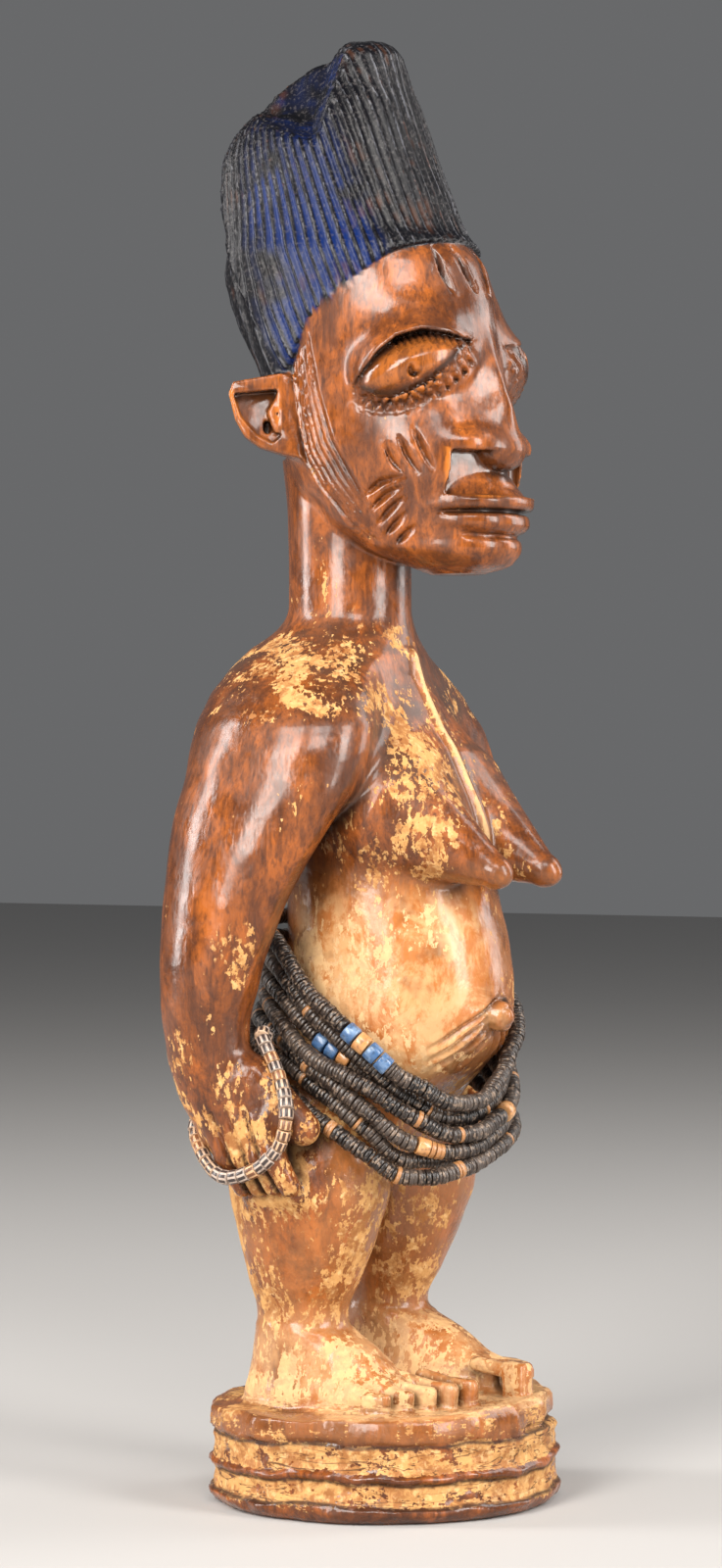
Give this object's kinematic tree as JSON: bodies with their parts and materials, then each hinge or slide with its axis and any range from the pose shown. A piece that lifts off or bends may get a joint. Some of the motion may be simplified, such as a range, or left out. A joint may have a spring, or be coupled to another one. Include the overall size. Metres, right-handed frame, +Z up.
{
  "type": "carved twin figure",
  "caption": "Carved wooden standing woman on a round plinth, with a plaited crest, strings of shell discs round the hips and a beaded bracelet on the right wrist.",
  "frame": {"origin": "centre of the plinth's underside", "axes": "+Z up, the figure faces -Y, her right hand is at -X"},
  "size_m": [0.0872, 0.0688, 0.275],
  "materials": {
    "carved_wood": "hard wood polished by handling, chestnut on the head and arms, ochre crust on the body and plinth, indigo blue in the hair",
    "shell_disc": "small dark brown and grey discs of coconut shell, satin, worn smooth at the rims",
    "blue_glass": "opaque blue glass, glossy and slightly pitted",
    "ochre_glass": "opaque tan to ochre glass, glossy",
    "striped_bead": "small brown glass cylinders with pale lengthwise stripes"
  },
  "bodies": {
    "root": {"figure": "carved_wood", "waist_strand_1": "shell_disc", "waist_strand_2": "shell_disc", "waist_strand_3": "shell_disc", "waist_strand_4": "shell_disc", "waist_strand_5": "shell_disc", "waist_strand_6": "shell_disc", "waist_strand_7": "shell_disc", "blue_bead_1": "blue_glass", "blue_bead_2": "blue_glass", "blue_bead_3": "blue_glass", "blue_bead_4": "blue_glass", "blue_bead_5": "blue_glass", "ochre_bead_1": "ochre_glass", "ochre_bead_2": "ochre_glass", "ochre_bead_3": "ochre_glass", "ochre_bead_4": "ochre_glass", "wrist_bracelet": "striped_bead"}
  },
  "joints": []
}
